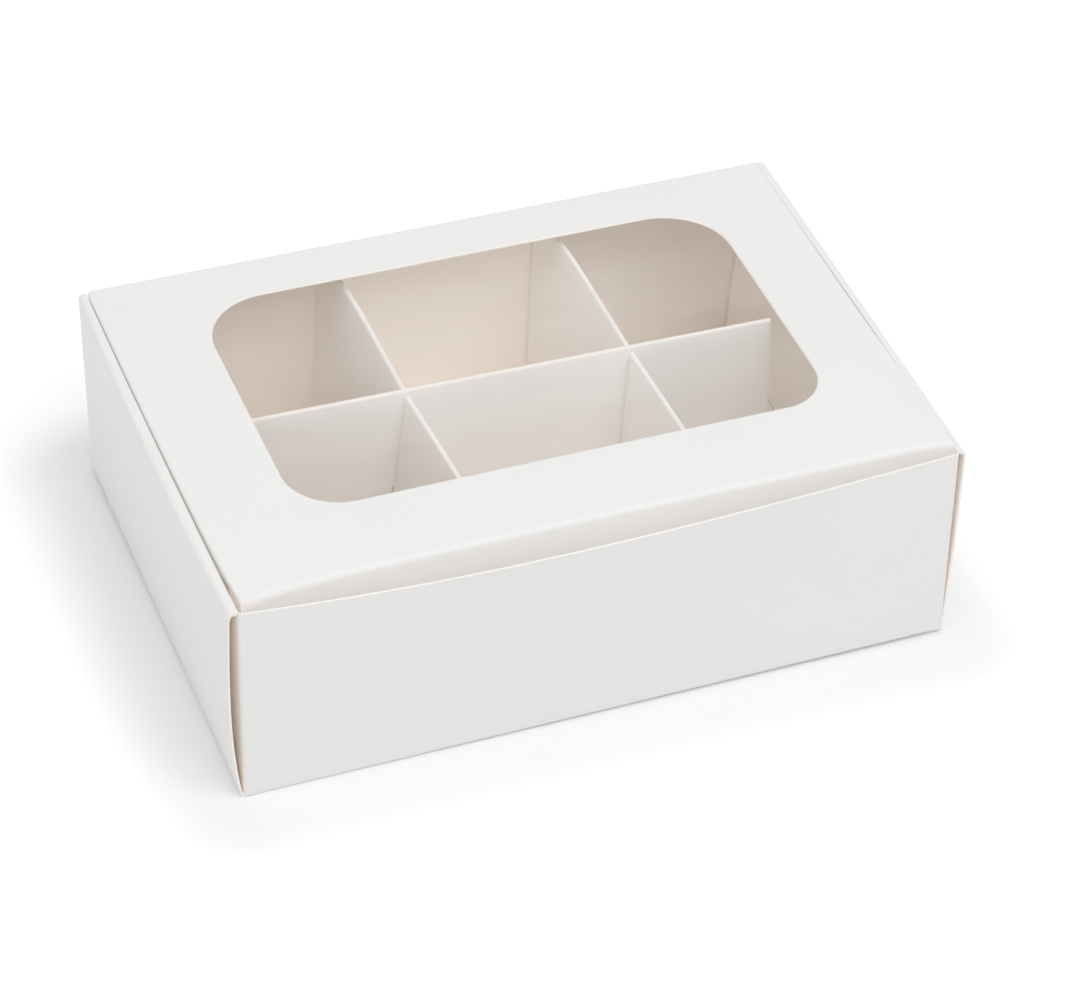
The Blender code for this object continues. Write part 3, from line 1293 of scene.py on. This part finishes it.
    def build_side(self, side: Side) -> None:
        """Make one side flap, which rolls over the lid's side edge and tucks in.

        Args:
            side: Which side.
        """
        sizes = self.sizes
        radius = self.side_fold(side)
        lean, lean_from = self.left_lean if side is Side.LEFT else self.right_lean
        slope = math.tan(math.radians(lean))
        inner = sizes.lid_half - self.seam
        half = sizes.lid_half + self.side_reach - radius
        section = level(inner, half, steps=3)[:-1]
        section += arc((half, -radius), radius, 90, 0, steps=8)
        last = section[-1]
        length = sizes.top + last.up - sizes.side_flap_tip
        section += [last._replace(run=run) for run in spread(0, 1, steps=12)[1:]]
        front = self.roll_front + self.seam
        back = sizes.lid_back - self.seam

        def depth(y: float) -> float:
            """Find the flap's depth, cut away at the back and rounded at the front.

            Args:
                y: The place along the flap.

            Returns:
                The depth below its fold there.
            """
            behind = max(back - y - self.flap_heel, 0)
            ahead = max(y - front - self.flap_nose, 0)
            rounding = self.flap_corner - min(ahead, self.flap_corner)
            nose = math.sqrt(self.flap_corner ** 2 - rounding ** 2) + length - self.flap_corner
            shown = nose if ahead > 0 else 0
            return max(min(length, behind, shown), self.flap_least)

        def place(station: float, point: SectionPoint) -> Vector:
            """Find a point of the flap.

            Args:
                station: The place along the flap.
                point: The point of the section, with its share of the flap's depth.

            Returns:
                The point.
            """
            drop = point.run * depth(station)
            shift = self.edge(side, station) - half - radius
            share = share_of(point.across, inner, half)
            x = side * (point.across + shift * share - max(drop - lean_from, 0) * slope)
            z = sizes.top + point.up - drop
            return Vector((x, station, z + self.swell(x, station)))

        name = f"{side.word}_flap_sheet"
        stations = spread(front, back, steps=66)
        outwards = Vector((side, 0, 0))
        sheet = sheet_along(name, section, stations, place, outwards, self.stock)
        thicken(sheet, sizes.card)
        start = Vector((side * half, 0, sizes.top))
        end = start + Vector((side * radius, 0, -radius))
        seat_bending(sheet, ("lid", f"{side.word}_flap"), start, end, f"lid_{side.word}_flap")

    def build_crease(self) -> None:
        """Make the crease that joins the lid to the back wall's top edge."""
        sizes = self.sizes
        radius = self.back_fold
        foot = sizes.crease_foot
        shoulder = sizes.top - radius
        section = [SectionPoint(sizes.back, up) for up in spread(foot, shoulder, steps=3)[:-1]]
        section += arc((sizes.back - radius, shoulder), radius, 0, 90, steps=8)
        edge = spread(section[-1].across, sizes.lid_back - self.seam, steps=6)
        section += [SectionPoint(y, sizes.top) for y in edge[1:]]

        def place(station: float, point: SectionPoint) -> Vector:
            """Find a point of the crease.

            Args:
                station: The share of the half width, below zero on the left.
                point: The point of the section.

            Returns:
                The point.
            """
            round_off = max(point.across - sizes.back + self.back_corner, 0)
            half = self.edge(station, point.across) - self.back_corner
            half += math.sqrt(self.back_corner ** 2 - round_off ** 2)
            x = station * half
            fallen = (sizes.top - point.up) / radius
            away = self.roll(station, (1 - abs(station)) * half) * max(1 - fallen, 0)
            lift = self.swell(x, point.across) * (point.up - foot) / (sizes.top - foot)
            return Vector((x, point.across, point.up + lift - away))

        stations = self.rolled_stations()
        outwards = Vector((0, 1, 1))
        sheet = sheet_along("lid_crease", section, stations, place, outwards, self.stock)
        thicken(sheet, sizes.card)
        start = Vector((0, sizes.back, sizes.top - 2 * radius))
        end = Vector((0, sizes.back - radius, sizes.top))
        seat_bending(sheet, ("tray", "lid"), start, end)


@dataclass(frozen=True)
class CrossStrip:
    """How one cross strip stands: its top, its lean at the slot, and how its two halves bend away."""

    top_x: float
    top: float
    lean: float
    front_turn: float
    back_x: float
    reach: float
    top_stiffness: float = 6.0

    def slot_x(self, up: float) -> float:
        """Return where the strip stands across the carton at its slot, at a height."""
        return self.top_x - self.lean * (self.top - up)

    def stand_x(self, behind: float, up: float) -> float:
        """Find where the strip stands across the carton.

        Args:
            behind: The distance behind its slot.
            up: The height.

        Returns:
            The X of the strip's middle.
        """
        x = self.slot_x(up)
        if behind < 0:
            return x - self.front_turn * behind
        power = 1 + self.top_stiffness * min(up / self.top, 1.0)
        return mix(x, self.back_x, min(behind / self.reach, 1.0) ** power)


@dataclass
class Insert:
    """The loose insert: a long strip slotted from below over two strips slotted from above."""

    sizes: CartonSizes
    stock: CardStock
    solid_thick: float = 1.2 * MM
    thick: float = 1.5 * MM
    top_round: float = 0.7 * MM
    slot_clear: float = 0.35 * MM
    heading: float = -1.2
    foot_reach: float = 20 * MM
    front_trim: float = 2.5 * MM
    face_normal: float = 0.98
    sharp_angle: float = 50.0
    tops: Pair = (-29.2 * MM, 36.0 * MM)
    leans: Pair = (0.13, 0.085)
    front_turns: Pair = (0.046, 0.031)
    back_ends: Pair = (-33.7 * MM, 32.0 * MM)

    def build(self) -> None:
        """Build the three strips."""
        low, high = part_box("long_divider")
        cross_low, cross_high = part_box("left_cross_divider")
        slope = (high.y - low.y - self.solid_thick) / (high.z - low.z)
        foot = low.y + self.solid_thick / 2 - slope * low.z
        middle = (low.x + high.x) / 2
        turn = math.tan(math.radians(self.heading))
        meet = cross_high.z / 2
        crosses = [
            CrossStrip(top_x, cross_high.z, lean, front_turn, back_x, cross_high.y - foot)
            for top_x, lean, front_turn, back_x in zip(
                self.tops, self.leans, self.front_turns, self.back_ends
            )
        ]

        strip = self.blank("long_strip", (low.x, high.x), (low.z, high.z))
        for cross in crosses:
            self.notch(strip, cross.slot_x(0), cross.lean, -meet, meet)
        for vert in strip.data.vertices:
            vert.co.y += foot + slope * vert.co.z + turn * (vert.co.x - middle)
        self.finish(strip, "long_divider")

        for side, cross in zip(Side, crosses):
            name = f"{side.word}_cross_strip"
            ends = (cross_low.y + self.front_trim, cross_high.y)
            strip = self.blank(name, ends, (cross_low.z, cross_high.z))
            crossing = foot + turn * (cross.slot_x(meet) - middle)
            self.notch(strip, crossing, slope, meet, 3 * meet)
            for vert in strip.data.vertices:
                along, aside, up = vert.co
                vert.co.x = cross.stand_x(along - crossing - slope * up, up) - aside
                vert.co.y = along
            self.finish(strip, f"{side.word}_cross_divider")

    def blank(self, name: str, along: Pair, up: Pair) -> Object:
        """Make a straight strip along X with a rounded top, divided finely enough to bend.

        Args:
            name: The strip's name.
            along: Where it starts and ends.
            up: Its foot and its top.

        Returns:
            The strip, standing at Y = 0.
        """
        half = self.thick / 2
        strip = block(name, Vector((along[0], -half, up[0])), Vector((along[1], half, up[1])))
        long_edge = 10 * self.thick

        def along_top(start: Vector, end: Vector) -> bool:
            """Say whether an edge runs along the strip's top."""
            return min(start.z, end.z) > sum(up) / 2 and abs(start.x - end.x) > long_edge

        bevel_edges(strip, along_top, self.top_round, segments=4)
        divide(strip, lambda a, b: abs(a.x - b.x) > long_edge, cuts=59)
        divide(strip, lambda a, b: abs(a.z - b.z) > long_edge, cuts=11)
        self.stock.dress(strip)
        for face in strip.data.polygons:
            if abs(face.normal.y) < self.face_normal:
                face.material_index = Face.CUT
            elif face.normal.y > 0:
                face.material_index = Face.INSIDE
        return strip

    def notch(self, strip: Object, x: float, slope: float, low: float, high: float) -> None:
        """Cut the slanting slot that another strip passes through.

        Args:
            strip: The strip, standing along X.
            x: Where the other strip's foot is.
            slope: How far the other strip leans, per height.
            low: Where the slot starts.
            high: Where the slot ends.
        """
        half = self.thick / 2 + self.slot_clear
        wide = 2 * self.thick
        cutter = block("notch", Vector((x - half, -wide, low)), Vector((x + half, wide, high)))
        for vert in cutter.data.vertices:
            vert.co.x += slope * vert.co.z
        cut_away(strip, cutter)

    def finish(self, strip: Object, node: str) -> None:
        """Trim a strip's foot to the twisted floor, shade it smooth and seat it.

        Args:
            strip: The bent strip.
            node: The CAD node that it replaces.
        """
        for vert in strip.data.vertices:
            low = max(1 - vert.co.z / self.foot_reach, 0.0)
            vert.co.z += max(self.sizes.sag(vert.co.x, vert.co.y), 0.0) * low
        strip.data.update()
        smooth(strip, self.sharp_angle)
        seat(strip, "insert", "divider_card", node)


@dataclass(frozen=True)
class SoftLight:
    """A soft square light that looks at the carton."""

    name: str
    place: Triple
    size: float
    power: float
    target: Triple = (0.0, 0.0, 30 * MM)

    def build(self) -> None:
        """Hang the light."""
        light = bpy.data.lights.new(self.name, "AREA")
        light.shape = "SQUARE"
        light.size = self.size
        light.energy = self.power
        lamp = bpy.data.objects.new(self.name, light)
        lamp.location = self.place
        aim = Vector(self.target) - Vector(self.place)
        lamp.rotation_euler = aim.to_track_quat("-Z", "Y").to_euler()
        bpy.context.scene.collection.objects.link(lamp)


@dataclass
class Studio:
    """The white floor, the soft lights and the camera."""

    lights: tuple[SoftLight, ...] = (
        SoftLight("key", (0.22, -0.7, 1.48), size=1.2, power=9.8),
        SoftLight("side", (-1.5, -0.2, 0.7), size=1.2, power=2.5),
        SoftLight("rim", (0.2, 0.7, 1.5), size=1.0, power=1.0),
    )
    white: tuple[float, ...] = (1.0, 1.0, 1.0, 1.0)
    sky: float = 0.634
    card_bounces: int = 12
    camera_place: Triple = (-0.34946, -0.89745, 0.82163)
    yaw: float = 21.59
    pitch: float = 39.74
    roll: float = 1.89
    focal_pixels: float = 4492.5
    photo_width: float = 1066.0
    sensor: float = 36.0
    floor_size: float = 8.0
    floor_height: float = -0.83 * MM
    floor_tilt: Triple = (0.56, -0.25, 0.0)
    floor_colour: tuple[float, ...] = (0.9, 0.9, 0.9, 1.0)
    floor_roughness: float = 0.9
    carton_half: Triple = (0.1015, 0.072, 1.0)
    near_range: Pair = (8 * MM, 34 * MM)
    near_glow: Pair = (0.045, 0.2)
    far_range: Pair = (150 * MM, 600 * MM)
    far_glow: Pair = (0.0, 0.5)

    def build(self) -> None:
        """Build the stage, the lights and the camera."""
        self.build_floor()
        self.build_world()
        for light in self.lights:
            light.build()
        self.build_camera()
        scene = bpy.context.scene
        scene.view_settings.view_transform = "Standard"
        scene.cycles.diffuse_bounces = self.card_bounces

    @staticmethod
    def seen(tree: NodeTree) -> NodeSocket:
        """Add nodes that tell what is seen, straight or in a clear or shiny piece, from what lights.

        Args:
            tree: The nodes of the floor or the sky.

        Returns:
            A socket that is 1 for rays that are seen, and 0 for rays that carry light.
        """
        path = add_node(tree, "LightPath", {}).outputs
        shiny = combine(tree, "MAXIMUM", path["Is Glossy Ray"], path["Is Transmission Ray"])
        return combine(tree, "MAXIMUM", path["Is Camera Ray"], shiny)

    def build_floor(self) -> None:
        """Make the floor: white to the eye, and keeping the carton's shadow."""
        bpy.ops.object.select_all(action="DESELECT")
        place = (0, 0, self.floor_height)
        bpy.ops.mesh.primitive_plane_add(size=self.floor_size, location=place)
        floor = bpy.context.object
        floor.name = "studio_floor"
        floor.rotation_euler = [math.radians(turn) for turn in self.floor_tilt]
        freeze(floor)
        material, shader = new_material("studio_white")
        tree = material.node_tree
        looks = {
            "Base Color": self.floor_colour,
            "Roughness": self.floor_roughness,
            "Specular IOR Level": 0.0,
            "Emission Color": self.white,
            "Emission Strength": combine(tree, "MULTIPLY", self.seen(tree), self.glow(tree)),
        }
        feed(shader, looks)
        floor.data.materials.append(material)

    def glow(self, tree: NodeTree) -> NodeSocket:
        """Add nodes that make the floor whiter away from the carton, where no shadow falls.

        Args:
            tree: The floor's nodes.

        Returns:
            A socket with the glow's strength.
        """
        inputs = {0: object_place(tree)}
        mirrored = add_node(tree, "VectorMath", inputs, operation="ABSOLUTE")
        inputs = {0: mirrored.outputs["Vector"], 1: self.carton_half}
        beyond = add_node(tree, "VectorMath", inputs, operation="SUBTRACT")
        inputs = {0: beyond.outputs["Vector"]}
        outside = add_node(tree, "VectorMath", inputs, operation="MAXIMUM")
        inputs = {0: outside.outputs["Vector"]}
        away = add_node(tree, "VectorMath", inputs, operation="LENGTH").outputs["Value"]
        near = map_range(tree, away, self.near_range, self.near_glow, "SMOOTHSTEP")
        far = map_range(tree, away, self.far_range, self.far_glow, "SMOOTHSTEP")
        return combine(tree, "ADD", near, far)

    def build_world(self) -> None:
        """Make an even soft sky that the eye sees as white."""
        world = bpy.data.worlds.new("studio_sky")
        bpy.context.scene.world = world
        world.use_nodes = True
        tree = world.node_tree
        strength = map_range(tree, self.seen(tree), (0.0, 1.0), (self.sky, 1.0))
        feed(tree.nodes["Background"], {"Color": self.white, "Strength": strength})

    def build_camera(self) -> None:
        """Add the camera at the photograph's viewing angle."""
        camera = bpy.data.cameras.new("camera")
        camera.sensor_width = self.sensor
        camera.sensor_fit = "HORIZONTAL"
        camera.lens = self.focal_pixels / self.photo_width * self.sensor
        eye = bpy.data.objects.new("camera", camera)
        heading = Matrix.Rotation(math.radians(-self.yaw), 4, "Z")
        tilt = Matrix.Rotation(math.radians(90 - self.pitch), 4, "X")
        roll = Matrix.Rotation(math.radians(self.roll), 4, "Z")
        eye.matrix_world = Matrix.Translation(self.camera_place) @ heading @ tilt @ roll
        bpy.context.scene.collection.objects.link(eye)
        bpy.context.scene.camera = eye


COATED = CardFinish(
    "coated_card", (0.86, 0.857, 0.849), mottle=0.012, roughness=0.5, tooth=0.25, fibre_scale=1400.0
)
# The board's bare inside; on the tray's corner flaps this finish is painted warm shade.
PLAIN = CardFinish(
    "uncoated_card", (0.975, 0.93, 0.885), mottle=0.03, roughness=0.8, tooth=0.5, fibre_scale=900.0
)
CUT = CardFinish(
    "cut_edge", (0.93, 0.905, 0.865), mottle=0.03, roughness=0.8, tooth=0.4, fibre_scale=2500.0
)
STRIP = CardFinish(
    "divider_card", (0.97, 0.962, 0.953), mottle=0.02, roughness=0.65, tooth=0.35, fibre_scale=1200.0
)
STRIP_BACK = CardFinish(
    "divider_back", (0.94, 0.915, 0.885), mottle=0.02, roughness=0.7, tooth=0.4, fibre_scale=1100.0
)
STRIP_EDGE = CardFinish(
    "divider_edge", (0.93, 0.9, 0.855), mottle=0.02, roughness=0.7, tooth=0.3, fibre_scale=2200.0
)


def main() -> None:
    """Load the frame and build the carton's looks round it."""
    logging.basicConfig(level=logging.INFO, format="%(name)s: %(message)s")
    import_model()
    sizes = CartonSizes.from_frame()
    stock = CardStock(COATED, PLAIN, CUT)
    Tray(sizes, stock).build()
    Lid(sizes, stock, FilmFinish().build()).build()
    Insert(sizes, CardStock(STRIP, STRIP_BACK, STRIP_EDGE)).build()
    Studio().build()
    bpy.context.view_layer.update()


if __name__ == "__main__":
    main()
